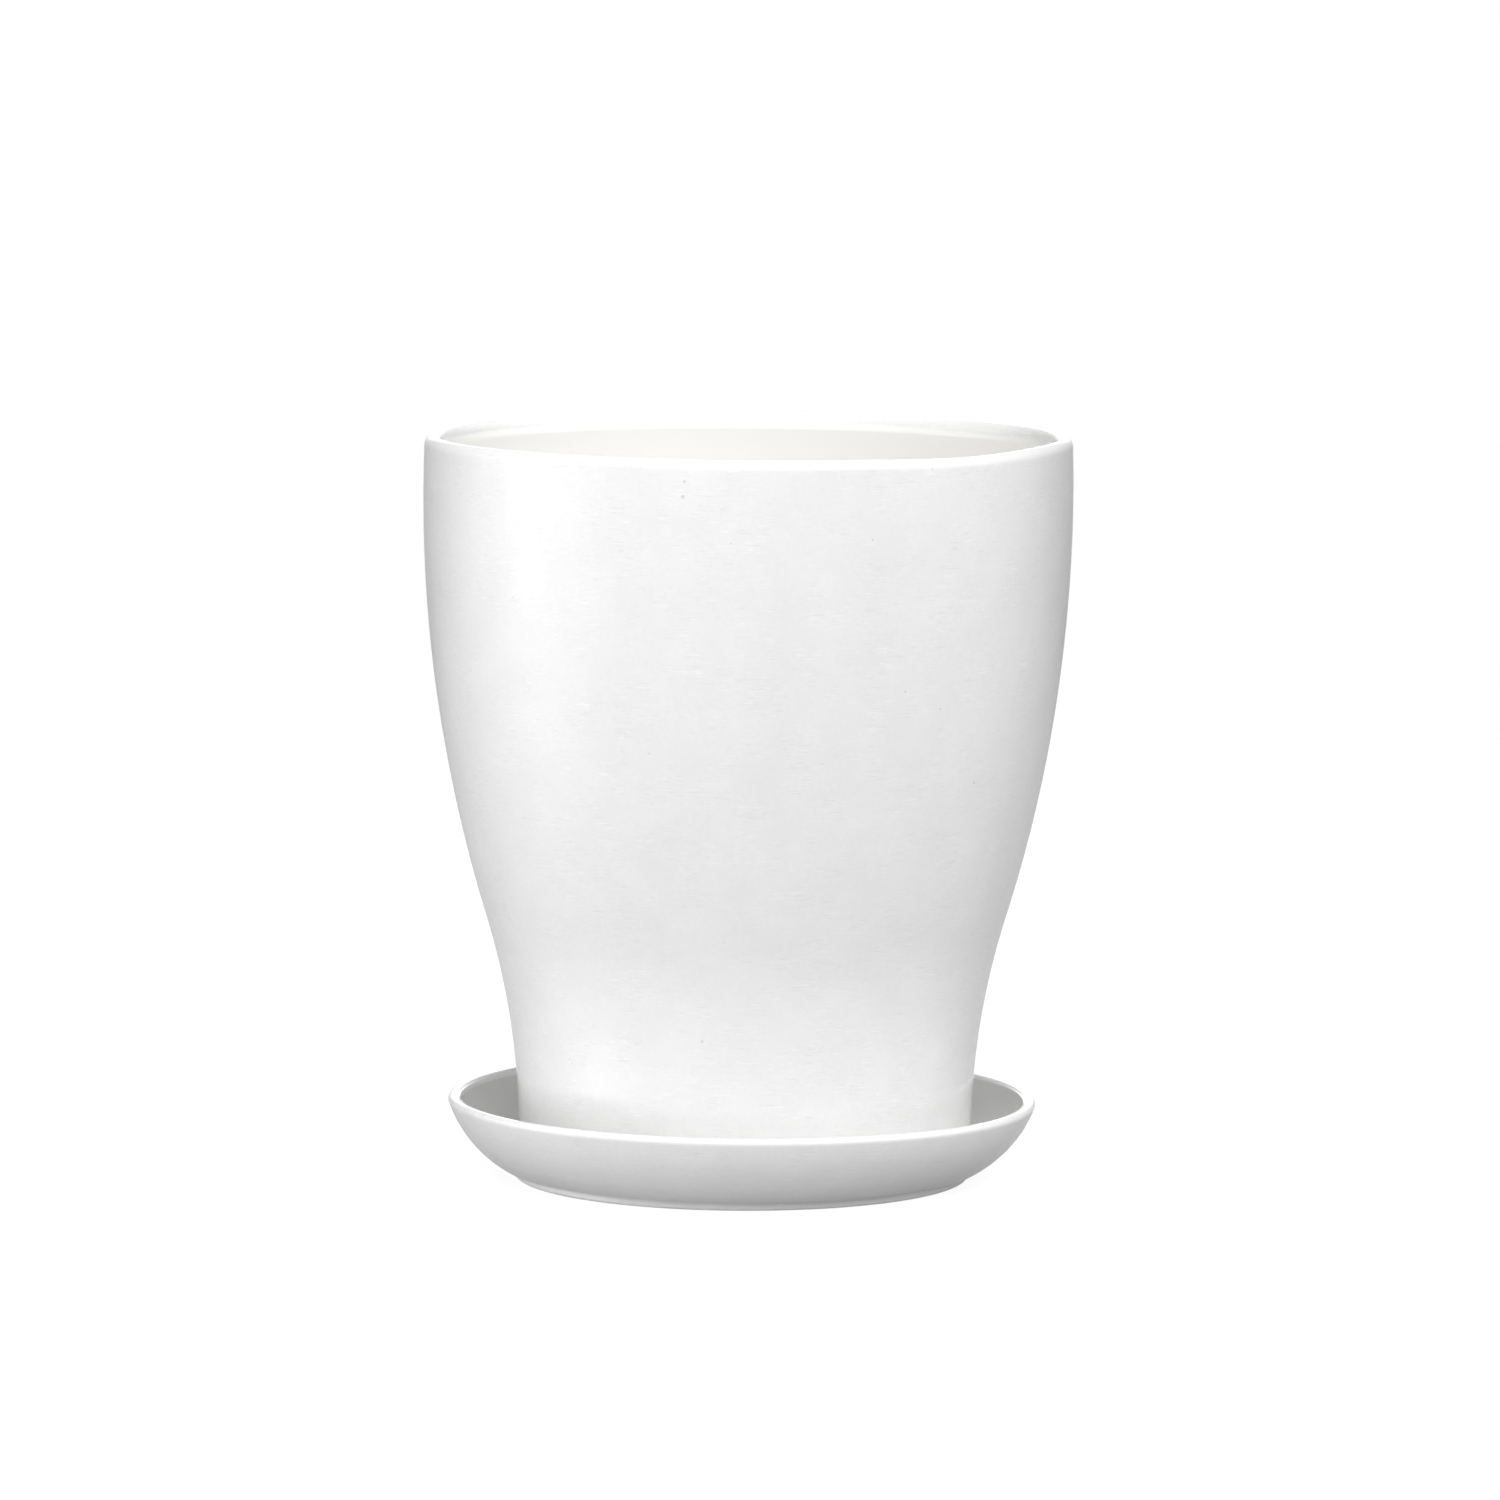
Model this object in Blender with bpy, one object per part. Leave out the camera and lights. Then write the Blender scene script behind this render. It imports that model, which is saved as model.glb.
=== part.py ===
"""A footed plant pot standing in its drip saucer, both turned from clay and glazed.

There are two loose pieces. The saucer stands on the ground, and the pot stands in the saucer and
lifts straight up out of it. Metres, +Z up. The origin is on the common axis, on the ground.

Every outline below is half of a cross-section: a closed loop of (radius, height) points that runs
down the outer side, in along the underside and back up the inner side.
"""

import bmesh
import bpy
from math import asin, atan2, cos, hypot, pi, radians, sin, sqrt

# ---- both pieces ---------------------------------------------------------------------------
FACETS = 72               # flat facets round the axis
CLEARANCE = 0.0003        # gap between the pot's foot and the saucer's floor
EDGE = 0.0010             # radius of the softened edges of both feet and the drain hole
SHARP_ANGLE = radians(40)

# ---- saucer --------------------------------------------------------------------------------
SAUCER_RADIUS = 0.0955    # outside of the rim
SAUCER_HEIGHT = 0.0262    # top of the rim
SAUCER_WALL = 0.0039
SAUCER_RIM = 0.0022       # height of the rounded top of the rim
SAUCER_BOWL_FOOT = 0.0774           # radius where the bowl turns flat above the foot ring
SAUCER_BOWL_BULGE = 0.0026          # how far the bowl's side bulges past a straight line
SAUCER_FOOT_RADIUS = 0.0738
SAUCER_FOOT_HEIGHT = 0.0031
SAUCER_FOOT_COVE = 0.0015           # hollow curve between the foot ring and the bowl
SAUCER_FOOT_WIDTH = 0.0065
SAUCER_RECESS = 0.0020    # hollow inside the foot ring
SAUCER_FLOOR = 0.0080     # top of the floor
SAUCER_FILLET = 0.0060    # where the floor turns up into the wall

# ---- pot -----------------------------------------------------------------------------------
POT_HEIGHT = 0.2417       # top of the lip above the ground
POT_RADIUS = 0.1050       # widest radius
BELLY_HEIGHT = 0.2223     # height of the widest radius above the ground
BELLY_SWEEP = 0.4640      # radius of the long convex arc of the side
WAIST_SWEEP = 0.2470      # radius of the concave arc above the foot
TAPER = radians(17.1)     # lean of the side where the two arcs meet
POT_WALL = 0.0055
LIP_HEIGHT = 0.0034       # height of the rounded lip
POT_FLOOR = 0.0080        # thickness of the floor
POT_FILLET = 0.0150       # where the floor turns up into the wall
FOOT_RING_WIDTH = 0.0075
FOOT_RECESS = 0.0035      # hollow inside the foot ring
DRAIN_RADIUS = 0.0100

# ---- notches that let the water out from under the pot -------------------------------------
NOTCH_COUNT = 3
NOTCH_ARC = 0.0066        # radius of the round tool that cuts them
NOTCH_HEIGHT = 0.0024

POT_BASE = SAUCER_FLOOR + CLEARANCE
FOOT_TOP = POT_BASE + 2 * EDGE      # where the foot's softened edge meets the side


# ---- outlines ------------------------------------------------------------------------------
def arc(centre, width, height, start, end, steps):
    """Points of an ellipse (a circle when width equals height) between two angles."""
    angles = [start + (end - start) * i / steps for i in range(steps + 1)]
    return [(centre[0] + width * cos(a), centre[1] + height * sin(a)) for a in angles]


def bulged_centre(top, bottom, bulge):
    """Centre and radius of the arc that bulges outwards between two points of a bowl's side."""
    run, drop = top[0] - bottom[0], top[1] - bottom[1]
    chord = hypot(run, drop)
    radius = (chord * chord / 4 + bulge * bulge) / (2 * bulge)
    back = (radius - bulge) / chord
    middle = ((top[0] + bottom[0]) / 2, (top[1] + bottom[1]) / 2)
    return (middle[0] - drop * back, middle[1] + run * back), radius


def direction(origin, target):
    return atan2(target[1] - origin[1], target[0] - origin[0])


def foot(radius, base, ring_width, recess):
    """The outer edge, underside and inner side of a foot ring, up to the recess inside it."""
    outer = arc((radius - EDGE, base + EDGE), EDGE, EDGE, 0, -pi / 2, 3)
    inner_radius = radius - ring_width
    inner = arc((inner_radius + EDGE, base + EDGE), EDGE, EDGE, -pi / 2, -pi, 3)
    return outer + inner + [(inner_radius - EDGE, base + recess)]


def saucer_outline():
    rim_base = SAUCER_HEIGHT - SAUCER_RIM
    rim_centre = (SAUCER_RADIUS - SAUCER_WALL / 2, rim_base)
    rim = arc(rim_centre, SAUCER_WALL / 2, SAUCER_RIM, pi, 0, 6)

    bowl_top = (SAUCER_RADIUS, rim_base)
    bowl_bottom = (SAUCER_BOWL_FOOT, SAUCER_FOOT_HEIGHT)
    centre, radius = bulged_centre(bowl_top, bowl_bottom, SAUCER_BOWL_BULGE)
    top_angle, bottom_angle = direction(centre, bowl_top), direction(centre, bowl_bottom)
    outside = arc(centre, radius, radius, top_angle, bottom_angle, 6)

    cove_centre = (SAUCER_FOOT_RADIUS + SAUCER_FOOT_COVE, SAUCER_FOOT_HEIGHT - SAUCER_FOOT_COVE)
    cove = arc(cove_centre, SAUCER_FOOT_COVE, SAUCER_FOOT_COVE, pi / 2, pi, 3)
    base = foot(SAUCER_FOOT_RADIUS, 0, SAUCER_FOOT_WIDTH, SAUCER_RECESS)

    # The inner side is parallel to the outer one, and a fillet rolls it into the floor.
    inner_radius = radius - SAUCER_WALL
    fillet_height = SAUCER_FLOOR + SAUCER_FILLET
    reach = inner_radius - SAUCER_FILLET
    fillet_centre = (centre[0] + sqrt(reach**2 - (fillet_height - centre[1])**2), fillet_height)
    meet = direction(centre, fillet_centre)
    fillet = arc(fillet_centre, SAUCER_FILLET, SAUCER_FILLET, -pi / 2, meet, 3)
    inside = arc(centre, inner_radius, inner_radius, meet, top_angle, 5)

    middle = [(0, SAUCER_RECESS), (0, SAUCER_FLOOR)]
    return rim[1:] + outside[1:] + cove + base + middle + fillet + inside[1:]


def pot_side():
    """Centres of the convex and concave arcs of the pot's side, and the radius at its foot."""
    belly_centre = (POT_RADIUS - BELLY_SWEEP, BELLY_HEIGHT)
    joint = (belly_centre[0] + BELLY_SWEEP * cos(TAPER), BELLY_HEIGHT - BELLY_SWEEP * sin(TAPER))
    waist_centre = (joint[0] + WAIST_SWEEP * cos(TAPER), joint[1] - WAIST_SWEEP * sin(TAPER))
    foot_radius = waist_centre[0] - sqrt(WAIST_SWEEP**2 - (FOOT_TOP - waist_centre[1])**2)
    return belly_centre, waist_centre, foot_radius


def pot_outline():
    belly_centre, waist_centre, foot_radius = pot_side()

    lip_base = POT_HEIGHT - LIP_HEIGHT
    lip_lean = asin((lip_base - BELLY_HEIGHT) / BELLY_SWEEP)
    belly = arc(belly_centre, BELLY_SWEEP, BELLY_SWEEP, lip_lean, -TAPER, 9)
    lip_centre = (belly[0][0] - POT_WALL / 2, lip_base)
    lip = arc(lip_centre, POT_WALL / 2, LIP_HEIGHT, pi, 0, 6)

    foot_lean = asin((FOOT_TOP - waist_centre[1]) / WAIST_SWEEP)
    waist = arc(waist_centre, WAIST_SWEEP, WAIST_SWEEP, pi - TAPER, pi - foot_lean, 6)
    base = foot(foot_radius, POT_BASE, FOOT_RING_WIDTH, FOOT_RECESS)

    under = POT_BASE + FOOT_RECESS
    floor = under + POT_FLOOR
    drain = arc((DRAIN_RADIUS + EDGE, under + EDGE), EDGE, EDGE, -pi / 2, -pi, 2)
    drain += arc((DRAIN_RADIUS + EDGE, floor - EDGE), EDGE, EDGE, pi, pi / 2, 2)

    # The inner side is parallel to the outer one, and a fillet rolls it into the floor.
    inner_waist = WAIST_SWEEP + POT_WALL
    inner_belly = BELLY_SWEEP - POT_WALL
    fillet_height = floor + POT_FILLET
    reach = inner_waist + POT_FILLET
    fillet_radius = waist_centre[0] - sqrt(reach**2 - (fillet_height - waist_centre[1])**2)
    fillet_centre = (fillet_radius, fillet_height)
    meet = direction(fillet_centre, waist_centre)
    fillet = arc(fillet_centre, POT_FILLET, POT_FILLET, -pi / 2, meet, 4)
    inner_side = arc(waist_centre, inner_waist, inner_waist, pi + meet, pi - TAPER, 5)
    inner_lean = asin((lip_base - BELLY_HEIGHT) / inner_belly)
    inner_side += arc(belly_centre, inner_belly, inner_belly, -TAPER, inner_lean, 7)[1:-1]

    return lip + belly[1:] + waist[1:] + base + drain + fillet + inner_side[1:]


# ---- solids --------------------------------------------------------------------------------
def turned(name, outline):
    """Revolve a closed outline about Z; its points at radius 0 become single points."""
    mesh = bpy.data.meshes.new(name)
    bm = bmesh.new()
    rings = []
    for radius, height in outline:
        if radius == 0:
            rings.append([bm.verts.new((0, 0, height))] * FACETS)
            continue
        turns = [2 * pi * i / FACETS for i in range(FACETS)]
        rings.append([bm.verts.new((radius * cos(t), radius * sin(t), height)) for t in turns])
    for upper, lower in zip(rings, rings[1:] + rings[:1]):
        if upper[0] is upper[1] and lower[0] is lower[1]:
            continue
        for i in range(FACETS):
            j = (i + 1) % FACETS
            corners = dict.fromkeys((upper[i], lower[i], lower[j], upper[j]))
            bm.faces.new(list(corners))
    bmesh.ops.recalc_face_normals(bm, faces=bm.faces)
    bm.to_mesh(mesh)
    bm.free()
    mesh.shade_smooth()
    mesh.set_sharp_from_angle(angle=SHARP_ANGLE)
    piece = bpy.data.objects.new(name, mesh)
    bpy.context.scene.collection.objects.link(piece)
    return piece


def notch_cutter(name, turn):
    """A lying cylinder across the foot ring, its upper side NOTCH_HEIGHT into the ring."""
    mesh = bpy.data.meshes.new(name)
    bm = bmesh.new()
    bmesh.ops.create_cone(bm, cap_ends=True, segments=24, radius1=NOTCH_ARC, radius2=NOTCH_ARC,
                          depth=FOOT_RING_WIDTH * 3)
    bm.to_mesh(mesh)
    bm.free()
    cutter = bpy.data.objects.new(name, mesh)
    bpy.context.scene.collection.objects.link(cutter)
    middle = pot_side()[2] - FOOT_RING_WIDTH / 2
    height = POT_BASE + NOTCH_HEIGHT - NOTCH_ARC
    cutter.location = (middle * cos(turn), middle * sin(turn), height)
    cutter.rotation_euler = (0, pi / 2, turn)
    cutter.hide_render = True
    cutter.display_type = "WIRE"
    return cutter


def cut_notches(pot):
    """Half-round channels across the underside of the pot's foot ring."""
    for i in range(NOTCH_COUNT):
        name = f"notch_cutter_{i + 1}"
        notch = pot.modifiers.new(name, "BOOLEAN")
        notch.operation = "DIFFERENCE"
        notch.solver = "EXACT"
        notch.object = notch_cutter(name, 2 * pi * (i + 0.5) / NOTCH_COUNT)


def glaze(name, colour):
    material = bpy.data.materials.new(name)
    material.use_nodes = True
    shader = material.node_tree.nodes["Principled BSDF"]
    shader.inputs["Base Color"].default_value = (*colour, 1)
    shader.inputs["Metallic"].default_value = 0
    shader.inputs["Roughness"].default_value = 0.2
    return material


# ---- assembly ------------------------------------------------------------------------------
def main():
    for thing in list(bpy.data.objects):
        bpy.data.objects.remove(thing, do_unlink=True)

    saucer = turned("saucer", saucer_outline())
    saucer.data.materials.append(glaze("saucer_glaze", (0.80, 0.80, 0.79)))

    pot = turned("pot", pot_outline())
    pot.data.materials.append(glaze("pot_glaze", (0.84, 0.84, 0.83)))
    cut_notches(pot)


main()
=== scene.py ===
"""Looks of a white-glazed plant pot standing in its drip saucer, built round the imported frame.

Both pieces are turned clay, so each is one fine revolved mesh, made slightly uneven as thrown clay
is, with a glaze that carries short turning strokes. Metres, +Z up, in the frame's own place.
"""

from math import asin, atan2, ceil, cos, hypot, pi, radians, sin, sqrt, tan

import bpy
import numpy as np
from mathutils import Matrix, Vector


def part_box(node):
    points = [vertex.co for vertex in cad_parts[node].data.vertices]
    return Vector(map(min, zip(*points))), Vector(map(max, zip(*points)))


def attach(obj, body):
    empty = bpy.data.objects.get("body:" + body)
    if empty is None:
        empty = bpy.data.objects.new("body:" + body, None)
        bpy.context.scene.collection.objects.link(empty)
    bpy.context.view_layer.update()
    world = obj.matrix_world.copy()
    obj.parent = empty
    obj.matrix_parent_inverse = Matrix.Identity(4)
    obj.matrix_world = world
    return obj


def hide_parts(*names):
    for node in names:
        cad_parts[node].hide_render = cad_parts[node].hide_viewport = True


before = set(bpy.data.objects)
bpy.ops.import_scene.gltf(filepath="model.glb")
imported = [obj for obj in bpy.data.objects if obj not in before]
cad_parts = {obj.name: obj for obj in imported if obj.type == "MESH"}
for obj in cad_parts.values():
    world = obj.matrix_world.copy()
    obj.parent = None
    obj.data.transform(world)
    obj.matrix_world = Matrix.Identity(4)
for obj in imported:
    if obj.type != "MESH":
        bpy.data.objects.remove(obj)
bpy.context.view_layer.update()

# ---- sizes -----------------------------------------------------------------------------------
POT_LOW, POT_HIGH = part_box("pot")
SAUCER_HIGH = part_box("saucer")[1]

POT_RADIUS = POT_HIGH.x         # at the belly
POT_HEIGHT = POT_HIGH.z         # top of the lip
POT_BASE = POT_LOW.z            # underside of the foot ring
SAUCER_RADIUS = SAUCER_HIGH.x   # outside of the rim
SAUCER_HEIGHT = SAUCER_HIGH.z   # top of the rim

# The CAD's own sizes, by the same names. Only SAUCER_RIM is lower here, 1.6 mm against 2.2.
EDGE = 0.0010
SAUCER_WALL = 0.0039
SAUCER_RIM = 0.0016
SAUCER_BOWL_FOOT = 0.0774
SAUCER_BOWL_BULGE = 0.0026
SAUCER_FOOT_RADIUS = 0.0738
SAUCER_FOOT_HEIGHT = 0.0031
SAUCER_FOOT_COVE = 0.0015
SAUCER_FOOT_WIDTH = 0.0065
SAUCER_RECESS = 0.0020
SAUCER_FLOOR = 0.0080
SAUCER_FILLET = 0.0060
BELLY_HEIGHT = 0.2223
BELLY_SWEEP = 0.4640
WAIST_SWEEP = 0.2470
TAPER = radians(17.1)
POT_WALL = 0.0055
LIP_HEIGHT = 0.0034
POT_FLOOR = 0.0080
POT_FILLET = 0.0150
FOOT_RING_WIDTH = 0.0075
FOOT_RECESS = 0.0035
DRAIN_RADIUS = 0.0100
NOTCH_COUNT = 3
NOTCH_ARC = 0.0066
NOTCH_HEIGHT = 0.0024
FOOT_TOP = POT_BASE + 2 * EDGE

# How far the fired clay is off the true shape. The photograph shows the first three.
SAUCER_WARP = 0.0006            # the saucer's rim is out of level by this, either way
SAUCER_SHIFT = 0.0011           # the saucer stands this far off the pot's centre
LIP_SAG = 0.0010                # a low place in the pot's lip, at the front on the right
LIP_SAG_TURN = radians(312)
LIP_SAG_WIDTH = 0.34
LIP_WOBBLE = 0.0003
RIM_WOBBLE = 0.00015
POT_WOBBLE = 0.00015
SAUCER_WOBBLE = 0.00008
RING_DEPTH = 0.000012           # fine rings left by the throwing

# Fineness of the turned meshes.
TURN_STEPS = 240
NOTCH_STEP = radians(0.4)
NOTCH_MARGIN = radians(0.5)


# ---- outlines: rows of (radius, height), down the outer side and back up the inner one ---------
def arc(centre, width, height, start, end, spacing):
    """An elliptical arc between two angles, with points about `spacing` apart."""
    length = abs(end - start) * (width + height) / 2
    angles = np.linspace(start, end, max(4, ceil(length / spacing)) + 1)
    return np.column_stack((centre[0] + width * np.cos(angles), centre[1] + height * np.sin(angles)))


def line(start, end, spacing):
    """A straight run from start up to, and not including, end."""
    steps = max(1, ceil(hypot(end[0] - start[0], end[1] - start[1]) / spacing))
    return np.linspace(start, end, steps, endpoint=False)


def join(*runs):
    """One outline from several runs, without the points that neighbours share."""
    points = np.concatenate(runs)
    apart = np.linalg.norm(points - np.roll(points, 1, axis=0), axis=1) > 1e-6
    return points[apart]


def direction(origin, target):
    return atan2(target[1] - origin[1], target[0] - origin[0])


def bulged_centre(top, bottom, bulge):
    """Centre and radius of the arc that bulges outwards between two points of a bowl's side."""
    run, drop = top[0] - bottom[0], top[1] - bottom[1]
    chord = hypot(run, drop)
    radius = (chord * chord / 4 + bulge * bulge) / (2 * bulge)
    back = (radius - bulge) / chord
    middle = ((top[0] + bottom[0]) / 2, (top[1] + bottom[1]) / 2)
    return (middle[0] - drop * back, middle[1] + run * back), radius


def foot(radius, base, ring_width, recess):
    """The outer edge, underside and inner side of a foot ring, up to the recess inside it."""
    fine = EDGE / 4
    inner = radius - ring_width
    outer_edge = arc((radius - EDGE, base + EDGE), EDGE, EDGE, 0, -pi / 2, fine)
    inner_edge = arc((inner + EDGE, base + EDGE), EDGE, EDGE, -pi / 2, -pi, fine)
    under = line(outer_edge[-1], inner_edge[0], 0.0009)
    cove = arc((inner - EDGE, base + recess - EDGE), EDGE, EDGE, 0, pi / 2, fine)
    return join(outer_edge, under, inner_edge, cove)


def saucer_outline():
    rim_base = SAUCER_HEIGHT - SAUCER_RIM
    rim_centre = (SAUCER_RADIUS - SAUCER_WALL / 2, rim_base)
    rim = arc(rim_centre, SAUCER_WALL / 2, SAUCER_RIM, pi, 0, 0.0005)

    bowl_top = (SAUCER_RADIUS, rim_base)
    bowl_bottom = (SAUCER_BOWL_FOOT, SAUCER_FOOT_HEIGHT)
    centre, radius = bulged_centre(bowl_top, bowl_bottom, SAUCER_BOWL_BULGE)
    top_angle, bottom_angle = direction(centre, bowl_top), direction(centre, bowl_bottom)
    outside = arc(centre, radius, radius, top_angle, bottom_angle, 0.0009)

    cove_centre = (SAUCER_FOOT_RADIUS + SAUCER_FOOT_COVE, SAUCER_FOOT_HEIGHT - SAUCER_FOOT_COVE)
    cove = arc(cove_centre, SAUCER_FOOT_COVE, SAUCER_FOOT_COVE, pi / 2, pi, 0.0003)
    base = foot(SAUCER_FOOT_RADIUS, 0, SAUCER_FOOT_WIDTH, SAUCER_RECESS)
    underside = line(base[-1], (0, SAUCER_RECESS), 0.0025)

    inner_radius = radius - SAUCER_WALL
    fillet_height = SAUCER_FLOOR + SAUCER_FILLET
    reach = inner_radius - SAUCER_FILLET
    fillet_centre = (centre[0] + sqrt(reach**2 - (fillet_height - centre[1])**2), fillet_height)
    meet = direction(centre, fillet_centre)
    fillet = arc(fillet_centre, SAUCER_FILLET, SAUCER_FILLET, -pi / 2, meet, 0.0006)
    inside = arc(centre, inner_radius, inner_radius, meet, top_angle, 0.0009)
    floor = line((0, SAUCER_FLOOR), fillet[0], 0.0020)

    middle = [(0, SAUCER_RECESS)]
    return join(rim, outside, cove, base, underside, middle, floor, fillet, inside)


def pot_side():
    """Centres of the convex and concave arcs of the pot's side, and the radius at its foot."""
    belly_centre = (POT_RADIUS - BELLY_SWEEP, BELLY_HEIGHT)
    joint = (belly_centre[0] + BELLY_SWEEP * cos(TAPER), BELLY_HEIGHT - BELLY_SWEEP * sin(TAPER))
    waist_centre = (joint[0] + WAIST_SWEEP * cos(TAPER), joint[1] - WAIST_SWEEP * sin(TAPER))
    foot_radius = waist_centre[0] - sqrt(WAIST_SWEEP**2 - (FOOT_TOP - waist_centre[1])**2)
    return belly_centre, waist_centre, foot_radius


def on_front(across, height):
    """The point on the front of the pot's side, `across` to the right of its middle."""
    belly_centre, waist_centre, _ = pot_side()
    if height > belly_centre[1] - BELLY_SWEEP * sin(TAPER):
        radius = belly_centre[0] + sqrt(BELLY_SWEEP**2 - (height - belly_centre[1])**2)
    else:
        radius = waist_centre[0] - sqrt(WAIST_SWEEP**2 - (height - waist_centre[1])**2)
    return across, -sqrt(radius**2 - across**2), height


def pot_outline():
    belly_centre, waist_centre, foot_radius = pot_side()

    lip_base = POT_HEIGHT - LIP_HEIGHT
    lip_lean = asin((lip_base - BELLY_HEIGHT) / BELLY_SWEEP)
    belly = arc(belly_centre, BELLY_SWEEP, BELLY_SWEEP, lip_lean, -TAPER, 0.0018)
    lip_centre = (belly[0][0] - POT_WALL / 2, lip_base)
    lip = arc(lip_centre, POT_WALL / 2, LIP_HEIGHT, pi, 0, 0.0006)

    foot_lean = asin((FOOT_TOP - waist_centre[1]) / WAIST_SWEEP)
    waist = arc(waist_centre, WAIST_SWEEP, WAIST_SWEEP, pi - TAPER, pi - foot_lean, 0.0015)
    base = foot(foot_radius, POT_BASE, FOOT_RING_WIDTH, FOOT_RECESS)

    under = POT_BASE + FOOT_RECESS
    floor = under + POT_FLOOR
    drain_centre = DRAIN_RADIUS + EDGE
    drain_low = arc((drain_centre, under + EDGE), EDGE, EDGE, -pi / 2, -pi, EDGE / 3)
    drain_high = arc((drain_centre, floor - EDGE), EDGE, EDGE, pi, pi / 2, EDGE / 3)
    underside = line(base[-1], drain_low[0], 0.0040)
    bore = line(drain_low[-1], drain_high[0], 0.0015)

    inner_waist = WAIST_SWEEP + POT_WALL
    inner_belly = BELLY_SWEEP - POT_WALL
    fillet_height = floor + POT_FILLET
    reach = inner_waist + POT_FILLET
    fillet_radius = waist_centre[0] - sqrt(reach**2 - (fillet_height - waist_centre[1])**2)
    fillet_centre = (fillet_radius, fillet_height)
    meet = direction(fillet_centre, waist_centre)
    fillet = arc(fillet_centre, POT_FILLET, POT_FILLET, -pi / 2, meet, 0.0025)
    inner_floor = line(drain_high[-1], fillet[0], 0.0040)
    inner_side = arc(waist_centre, inner_waist, inner_waist, pi + meet, pi - TAPER, 0.0024)
    inner_lean = asin((lip_base - BELLY_HEIGHT) / inner_belly)
    inner_side = join(inner_side, arc(belly_centre, inner_belly, inner_belly, -TAPER, inner_lean, 0.0024))

    return join(lip, belly, waist, base, underside, drain_low, bore, drain_high, inner_floor, fillet,
                inner_side)


# ---- turned meshes -----------------------------------------------------------------------------
def even_turns(count):
    return np.linspace(0, 2 * pi, count, endpoint=False)


def notched_turns(count, notches, half_angle, step):
    """Even angles round the axis, with closer ones across each notch."""
    plain = even_turns(count)
    fine = np.arange(-half_angle, half_angle + step / 2, step)
    away = [np.abs((plain - n + pi) % (2 * pi) - pi) > half_angle + step for n in notches]
    kept = plain[np.logical_and.reduce(away)]
    return np.sort(np.concatenate([kept] + [(n + fine) % (2 * pi) for n in notches]))


def waves(turn, along, seed, count, most_turns, shortest, longest):
    """Smooth unevenness from -1 to 1 over a turned surface: a sum of long slanted waves."""
    draw = np.random.default_rng(seed)
    total = np.zeros(np.broadcast(turn, along).shape)
    for _ in range(count):
        around = draw.integers(-most_turns, most_turns + 1)
        length = draw.uniform(shortest, longest)
        total += np.sin(around * turn + 2 * pi * along / length + draw.uniform(0, 2 * pi))
    return total / sqrt(count)


def revolve(name, outline, turns, shape):
    """Revolve a closed outline. shape(turn, radius, height) gives each point's final radius and height."""
    turn = turns[None, :]
    radius, height = shape(turn, outline[:, :1], outline[:, 1:])
    grid = np.stack(np.broadcast_arrays(radius * np.cos(turn), radius * np.sin(turn), height), axis=-1)

    # A row on the axis is a single point, and every other row is a ring.
    count = len(turns)
    sizes = np.where(outline[:, 0] < 1e-9, 1, count)
    starts = np.cumsum(sizes) - sizes
    points = np.concatenate([row[:size] for row, size in zip(grid, sizes)])

    here = np.arange(count)
    after = (here + 1) % count
    faces = []
    for row in range(len(outline)):
        below = (row + 1) % len(outline)
        upper, lower = starts[row], starts[below]
        if sizes[row] == 1 and sizes[below] == 1:
            continue
        if sizes[row] == 1:
            corners = (np.full(count, upper), lower + here, lower + after)
        elif sizes[below] == 1:
            corners = (upper + here, np.full(count, lower), upper + after)
        else:
            corners = (upper + here, lower + here, lower + after, upper + after)
        faces += np.column_stack(corners).tolist()

    mesh = bpy.data.meshes.new(name)
    mesh.from_pydata(points.tolist(), [], faces)
    mesh.validate()
    mesh.shade_smooth()
    piece = bpy.data.objects.new(name, mesh)
    bpy.context.scene.collection.objects.link(piece)
    return piece


def smooth_step(value, low, high):
    t = np.clip((value - low) / (high - low), 0, 1)
    return t * t * (3 - 2 * t)


def make_saucer():
    def thrown(turn, radius, height):
        along = radius + height
        uneven = waves(turn, along, 11, 7, 4, 0.06, 0.20) * SAUCER_WOBBLE
        rings = waves(turn, along, 12, 9, 2, 0.005, 0.011) * RING_DEPTH
        out = (uneven + rings) * smooth_step(radius, 0.060, 0.080)
        free = smooth_step(height, 0.003, SAUCER_HEIGHT)
        wobble = RIM_WOBBLE * waves(turn, 0 * along, 13, 5, 4, 1, 2)
        return radius + out, height + free * (wobble - SAUCER_WARP * np.cos(turn))

    saucer = revolve("saucer_turned", saucer_outline(), even_turns(TURN_STEPS), thrown)
    saucer.data.transform(Matrix.Translation((-SAUCER_SHIFT, 0, 0)))
    return saucer


def notch_roof(turn, radius, height, notches):
    """How high the notches lift the underside of the foot ring, and well below it elsewhere."""
    nowhere = POT_BASE - 1
    roof = np.full(np.broadcast(turn, radius).shape, nowhere)
    for notch in notches:
        aside = radius * np.sin(turn - notch)
        rise = np.sqrt(np.clip(NOTCH_ARC**2 - aside**2, 0, None))
        arch = POT_BASE + NOTCH_HEIGHT - NOTCH_ARC + rise
        roof = np.maximum(roof, np.where(np.cos(turn - notch) > 0, arch, nowhere))
    return np.where(height < POT_BASE + FOOT_RECESS, roof, nowhere)


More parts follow.
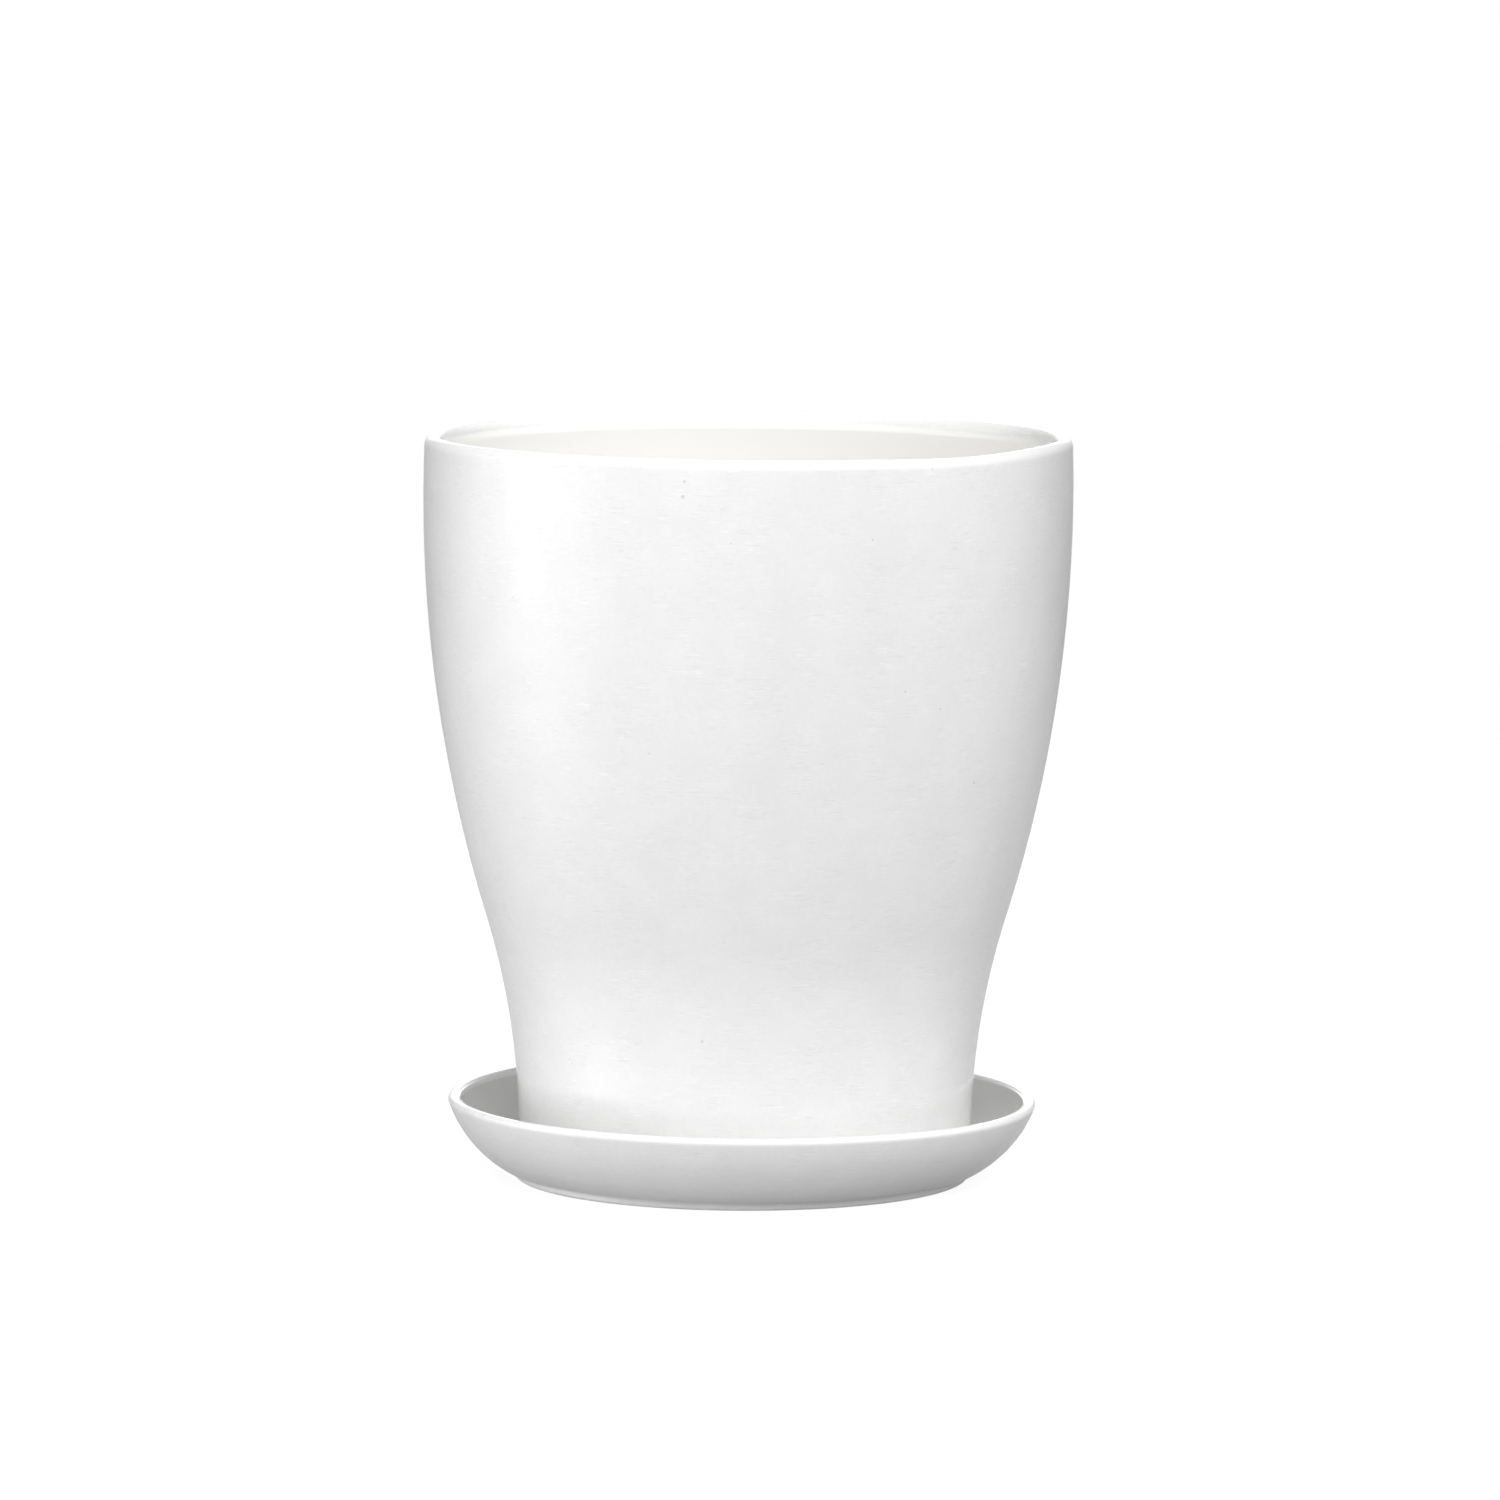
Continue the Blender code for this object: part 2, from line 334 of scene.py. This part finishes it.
def make_pot():
    foot_radius = pot_side()[2]
    notches = [2 * pi * (i + 0.5) / NOTCH_COUNT for i in range(NOTCH_COUNT)]
    half_width = sqrt(NOTCH_ARC**2 - (NOTCH_ARC - NOTCH_HEIGHT)**2)
    half_angle = half_width / (foot_radius - FOOT_RING_WIDTH) + NOTCH_MARGIN

    def thrown(turn, radius, height):
        along = radius + height
        free = smooth_step(height, 0.03, POT_HEIGHT)
        uneven = waves(turn, along, 21, 9, 4, 0.10, 0.40) * POT_WOBBLE * free
        rings = waves(turn, along, 22, 12, 2, 0.006, 0.016) * RING_DEPTH
        out = uneven + rings * smooth_step(radius, foot_radius - 0.012, foot_radius)
        wobble = LIP_WOBBLE * waves(turn, 0 * along, 23, 5, 3, 1, 2)
        sag = LIP_SAG * np.exp(-((turn - LIP_SAG_TURN) / LIP_SAG_WIDTH)**2)
        rise = smooth_step(height, POT_HEIGHT - 0.05, POT_HEIGHT) * (wobble - sag)
        return radius + out, np.maximum(height + rise, notch_roof(turn, radius, height, notches))

    turns = notched_turns(TURN_STEPS, notches, half_angle, NOTCH_STEP)
    return revolve("pot_turned", pot_outline(), turns, thrown)


# ---- glaze -----------------------------------------------------------------------------------
class Nodes:
    """Adds nodes to the tree of a material or light, and links them."""

    def __init__(self, owner, shader):
        owner.use_nodes = True
        self.tree = owner.node_tree
        self.shader = self.tree.nodes[shader]

    def add(self, kind, inputs=(), **settings):
        node = self.tree.nodes.new(kind)
        for key, value in settings.items():
            setattr(node, key, value)
        for key, value in dict(inputs).items():
            self.put(node.inputs[key], value)
        return node

    def put(self, socket, value):
        if isinstance(value, bpy.types.NodeSocket):
            self.tree.links.new(value, socket)
        else:
            socket.default_value = value

    def math(self, operation, a, b=0.0):
        return self.add("ShaderNodeMath", {0: a, 1: b}, operation=operation).outputs[0]

    def noise(self, vector, scale, detail, roughness=0.5):
        inputs = {"Vector": vector, "Scale": scale, "Detail": detail, "Roughness": roughness}
        return self.add("ShaderNodeTexNoise", inputs).outputs["Fac"]

    def ramp(self, value, low, high, start=0.0, end=1.0, kind="LINEAR"):
        inputs = {"Value": value, "From Min": low, "From Max": high, "To Min": start, "To Max": end}
        return self.add("ShaderNodeMapRange", inputs, clamp=True, interpolation_type=kind).outputs["Result"]

    def mix(self, factor, a, b):
        node = self.add("ShaderNodeMix", data_type="RGBA")
        self.put(node.inputs["Factor"], factor)
        self.put(node.inputs[6], a)
        self.put(node.inputs[7], b)
        return node.outputs[2]

    def bump(self, height, distance, strength, normal=None):
        inputs = {"Height": height, "Distance": distance, "Strength": strength}
        if normal is not None:
            inputs["Normal"] = normal
        return self.add("ShaderNodeBump", inputs).outputs["Normal"]


WHITE = (0.88, 0.88, 0.88)
WHITE_SHADE = (0.78, 0.78, 0.78)
SAUCER_WHITE = (0.85, 0.85, 0.85)
SAUCER_WHITE_SHADE = (0.75, 0.75, 0.75)
# the pot's inside: a warm glaze tint, and lighter than the outer glaze as painted light
POT_INSIDE_TINT_AND_PAINTED_LIGHT = (0.87, 0.865, 0.845)
# the saucer's inside: painted shade, much darker than its outer glaze
SAUCER_INSIDE_PAINTED_SHADE = (0.65, 0.65, 0.64)
SPECK = (0.35, 0.34, 0.33)
CLAY = (0.60, 0.36, 0.25)

GLAZE_IOR = 1.55
FINE_STROKE = (0.0045, 0.0005)      # length round the axis, and width
BROAD_STROKE = (0.030, 0.0030)


def rgba(colour, shade=1.0):
    return (*[part * shade for part in colour], 1)


def glaze(name, light, dark, inside, inside_top, bare_below, specks=()):
    """White glaze with short turning strokes.

    Surfaces that face the axis take the colour `inside` up to the height `inside_top`: painted shade
    inside the saucer, and a warm glaze tint with painted light inside the pot. Below `bare_below` the
    clay is bare. `specks` are dark spots, each a place and a radius.
    """
    material = bpy.data.materials.new(name)
    n = Nodes(material, "Principled BSDF")
    place = n.add("ShaderNodeTexCoord").outputs["Object"]
    x, y, z = n.add("ShaderNodeSeparateXYZ", {0: place}).outputs
    flat = n.add("ShaderNodeCombineXYZ", {0: x, 1: y}).outputs[0]
    radius = n.add("ShaderNodeVectorMath", {0: flat}, operation="LENGTH").outputs["Value"]
    along = n.math("ADD", radius, z)

    def streaks(size, detail):
        """Noise drawn out round the axis, by a stroke's length and width."""
        length, width = size
        stretched = n.add("ShaderNodeCombineXYZ", {
            0: n.math("DIVIDE", x, length),
            1: n.math("DIVIDE", y, length),
            2: n.math("DIVIDE", along, width),
        }).outputs[0]
        return n.noise(stretched, 1.0, detail)

    fine = streaks(FINE_STROKE, 2.0)
    broad = streaks(BROAD_STROKE, 1.0)
    grain = n.noise(place, 700.0, 3.0, 0.6)
    patch = n.ramp(n.noise(place, 90.0, 2.0), 0.42, 0.60)
    mottle = n.noise(place, 60.0, 4.0, 0.6)
    peel = n.noise(place, 900.0, 1.0)

    # short turning strokes, lighter and darker, gathered in patches, over faint mottling
    light_strokes = n.math("MULTIPLY", n.ramp(fine, 0.60, 0.72), patch)
    dark_strokes = n.math("MULTIPLY", n.ramp(fine, 0.40, 0.28), patch)
    tone = n.math("MULTIPLY", n.math("SUBTRACT", light_strokes, dark_strokes), 0.65)
    tone = n.math("ADD", tone, n.math("MULTIPLY", n.math("SUBTRACT", mottle, 0.5), 0.7))
    tone = n.math("ADD", tone, n.math("MULTIPLY", n.math("SUBTRACT", grain, 0.5), 0.5))
    colour = n.mix(n.ramp(tone, -0.4, 0.4), rgba(dark), rgba(light))

    # a few dark specks fired into the glaze, scattered and then placed
    cells = n.add("ShaderNodeTexVoronoi", {"Vector": place, "Scale": 75.0})
    spot = n.ramp(cells.outputs["Distance"], 0.026, 0.020)
    colour = n.mix(n.math("MULTIPLY", spot, 0.45), colour, rgba(SPECK))
    for middle, size in specks:
        apart = n.add("ShaderNodeVectorMath", {0: place, 1: middle}, operation="DISTANCE")
        spot = n.ramp(apart.outputs["Value"], size, size / 2, kind="SMOOTHSTEP")
        colour = n.mix(n.math("MULTIPLY", spot, 0.35), colour, rgba(SPECK))

    # the inside: surfaces facing the axis take painted shade in the saucer, and a warm glaze tint with
    # painted light in the pot
    normal = n.add("ShaderNodeNewGeometry").outputs["Normal"]
    outwards = n.add("ShaderNodeVectorMath", {0: normal, 1: flat}, operation="DOT_PRODUCT")
    inside_tint_and_painted_light_mask = n.ramp(outwards.outputs["Value"], 0.0, -0.02)
    inside_tint_and_painted_light_mask = n.math("MULTIPLY", inside_tint_and_painted_light_mask, n.ramp(z, inside_top + 0.0003, inside_top - 0.0003))
    colour = n.mix(inside_tint_and_painted_light_mask, colour, rgba(inside))

    # the clay left bare underneath
    edge = n.math("ADD", z, n.math("MULTIPLY", mottle, 0.0006))
    bare = n.ramp(edge, bare_below + 0.0005, bare_below + 0.0002)
    clay = n.mix(n.ramp(grain, 0.3, 0.7), rgba(CLAY), rgba(CLAY, 0.8))
    colour = n.mix(bare, colour, clay)

    strokes = n.math("ADD", n.math("MULTIPLY", fine, 0.6), n.math("MULTIPLY", broad, 0.4))
    rough = n.ramp(strokes, 0.3, 0.7, 0.04, 0.09)
    rough = n.math("ADD", rough, n.math("MULTIPLY", bare, 0.6))

    normal = n.bump(mottle, 0.0010, 0.04)
    normal = n.bump(broad, 0.0004, 0.08, normal)
    normal = n.bump(fine, 0.0001, 0.05, normal)
    normal = n.bump(peel, 0.0001, 0.08, normal)

    n.put(n.shader.inputs["Base Color"], colour)
    n.put(n.shader.inputs["Roughness"], rough)
    n.put(n.shader.inputs["Normal"], normal)
    n.shader.inputs["IOR"].default_value = GLAZE_IOR
    return material


# ---- the two pieces ----------------------------------------------------------------------------
def build_object():
    saucer = make_saucer()
    saucer.data.materials.append(glaze("saucer_glaze", SAUCER_WHITE, SAUCER_WHITE_SHADE, SAUCER_INSIDE_PAINTED_SHADE,
                                       SAUCER_HEIGHT - 0.0014, 0.0))
    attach(saucer, "saucer")
    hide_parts("saucer")

    # the specks that the photograph shows on the front of the pot
    specks = [(on_front(-0.0204, 0.2300), 0.0008), (on_front(-0.0199, 0.2348), 0.0006),
              (on_front(-0.0137, 0.0547), 0.0006)]
    pot = make_pot()
    pot.data.materials.append(glaze("pot_glaze", WHITE, WHITE_SHADE, POT_INSIDE_TINT_AND_PAINTED_LIGHT,
                                    POT_HEIGHT - 0.0038, POT_BASE, specks))
    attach(pot, "pot")
    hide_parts("pot")


# ---- stage -----------------------------------------------------------------------------------
FLOOR_RADIUS = 1.6
FLOOR_FADE = (0.3, 1.5)         # the floor thins out between these distances
FLOOR_COVER = 0.25
FLOOR_GLOW = 0.5
LIGHT_DISTANCE = 1.5

# A long lens, a little above the pot and looking slightly down.
CAMERA_DISTANCE = 2.907
CAMERA_HEIGHT = 0.4627
CAMERA_AIM_ASIDE = 0.0010       # the camera stands at 0 and aims this far to the right
CAMERA_PITCH = 0.1108
CAMERA_ROLL = 0.0055
CAMERA_LENS = 216.5


def make_floor():
    """A pale disc that fades out well away from the object."""
    corners = [(FLOOR_RADIUS * cos(t), FLOOR_RADIUS * sin(t), 0) for t in even_turns(96)]
    mesh = bpy.data.meshes.new("floor")
    mesh.from_pydata(corners, [], [list(range(len(corners)))])
    floor = bpy.data.objects.new("floor", mesh)
    bpy.context.scene.collection.objects.link(floor)
    material = bpy.data.materials.new("pale_floor")
    n = Nodes(material, "Principled BSDF")
    place = n.add("ShaderNodeTexCoord").outputs["Object"]
    away = n.add("ShaderNodeVectorMath", {0: place}, operation="LENGTH").outputs["Value"]
    n.shader.inputs["Base Color"].default_value = (0.9, 0.9, 0.9, 1)
    n.shader.inputs["Roughness"].default_value = 0.9
    n.shader.inputs["Specular IOR Level"].default_value = 0.1
    n.shader.inputs["Emission Color"].default_value = (1, 1, 1, 1)
    n.shader.inputs["Emission Strength"].default_value = FLOOR_GLOW
    n.put(n.shader.inputs["Alpha"], n.ramp(away, *FLOOR_FADE, FLOOR_COVER, 0.0))
    mesh.materials.append(material)


# Broad soft lights of the studio: azimuth (0 is the camera's side, 90 the object's right), elevation,
# focus (higher is narrower) and strength.
SOFT_LIGHTS = [
    (0, 45, 8, 4.0),        # high over the camera
    (60, 45, 8, 2.5),       # high on the right
    (-90, 0, 8, 2.0),       # at the left
    (-30, 0, 6, 0.7),       # fill, front left
    (90, 0, 8, 0.6),        # fill, right
    (180, 0, 6, 0.3),       # fill, behind
    (180, 45, 3, 0.4),      # fill, high behind
    (180, 12, 60, 2.5),     # low on the backdrop, where the lips catch it
]


def way_to(azimuth, elevation):
    a, e = radians(azimuth), radians(elevation)
    return Vector((sin(a) * cos(e), -cos(a) * cos(e), sin(e)))


def make_world():
    """White to the camera. To everything else, a dark studio with broad soft lights that run together."""
    world = bpy.data.worlds.new("studio")
    bpy.context.scene.world = world
    n = Nodes(world, "Background")
    place = n.add("ShaderNodeTexCoord").outputs["Generated"]
    light = 0.0
    for azimuth, elevation, focus, strength in SOFT_LIGHTS:
        towards = n.add("ShaderNodeVectorMath", {0: place, 1: way_to(azimuth, elevation)},
                        operation="DOT_PRODUCT").outputs["Value"]
        lobe = n.math("POWER", n.math("MAXIMUM", towards, 0.0), focus)
        light = n.math("ADD", n.math("MULTIPLY", lobe, strength), light)
    camera_ray = n.add("ShaderNodeLightPath").outputs["Is Camera Ray"]
    unseen = n.math("MULTIPLY", light, n.math("SUBTRACT", 1.0, camera_ray))
    n.shader.inputs["Color"].default_value = (1, 1, 1, 1)
    n.put(n.shader.inputs["Strength"], n.math("MAXIMUM", unseen, camera_ray))


def aim(thing, place, target, roll=0.0):
    towards = Vector(target) - Vector(place)
    thing.rotation_mode = "QUATERNION"
    thing.rotation_quaternion = towards.to_track_quat("-Z", "Y") @ Matrix.Rotation(
        roll, 3, "Z").to_quaternion()
    thing.location = place


def soft_light(name, azimuth, elevation, width, height, power):
    """A soft panel that fades to its edges, aimed at the middle of the pot."""
    light = bpy.data.lights.new(name, "AREA")
    light.shape = "RECTANGLE"
    light.size = width
    light.size_y = height
    light.energy = power
    n = Nodes(light, "Emission")
    across = n.add("ShaderNodeSeparateXYZ", {0: n.add("ShaderNodeTexCoord").outputs["UV"]})
    fade = [n.ramp(n.math("ABSOLUTE", n.math("SUBTRACT", side, 0.5)), 0.5, 0.1, kind="SMOOTHSTEP")
            for side in across.outputs[:2]]
    n.put(n.shader.inputs["Strength"], n.math("MULTIPLY", *fade))
    lamp = bpy.data.objects.new(name, light)
    bpy.context.scene.collection.objects.link(lamp)
    middle = Vector((0, 0, POT_HEIGHT / 2))
    aim(lamp, middle + way_to(azimuth, elevation) * LIGHT_DISTANCE, middle)
    lamp.visible_camera = False


def make_camera():
    camera = bpy.data.objects.new("camera", bpy.data.cameras.new("camera"))
    bpy.context.scene.collection.objects.link(camera)
    camera.data.sensor_width = 36
    camera.data.lens = CAMERA_LENS
    camera.data.clip_end = 30
    eye = Vector((0, -CAMERA_DISTANCE, CAMERA_HEIGHT))
    drop = CAMERA_DISTANCE * tan(CAMERA_PITCH)
    aim(camera, eye, Vector((CAMERA_AIM_ASIDE, 0, CAMERA_HEIGHT - drop)), CAMERA_ROLL)
    bpy.context.scene.camera = camera


build_object()
make_floor()
make_world()
soft_light("key", -72, -8, 1.6, 1.4, 8)
make_camera()
bpy.context.scene.view_settings.view_transform = "Standard"
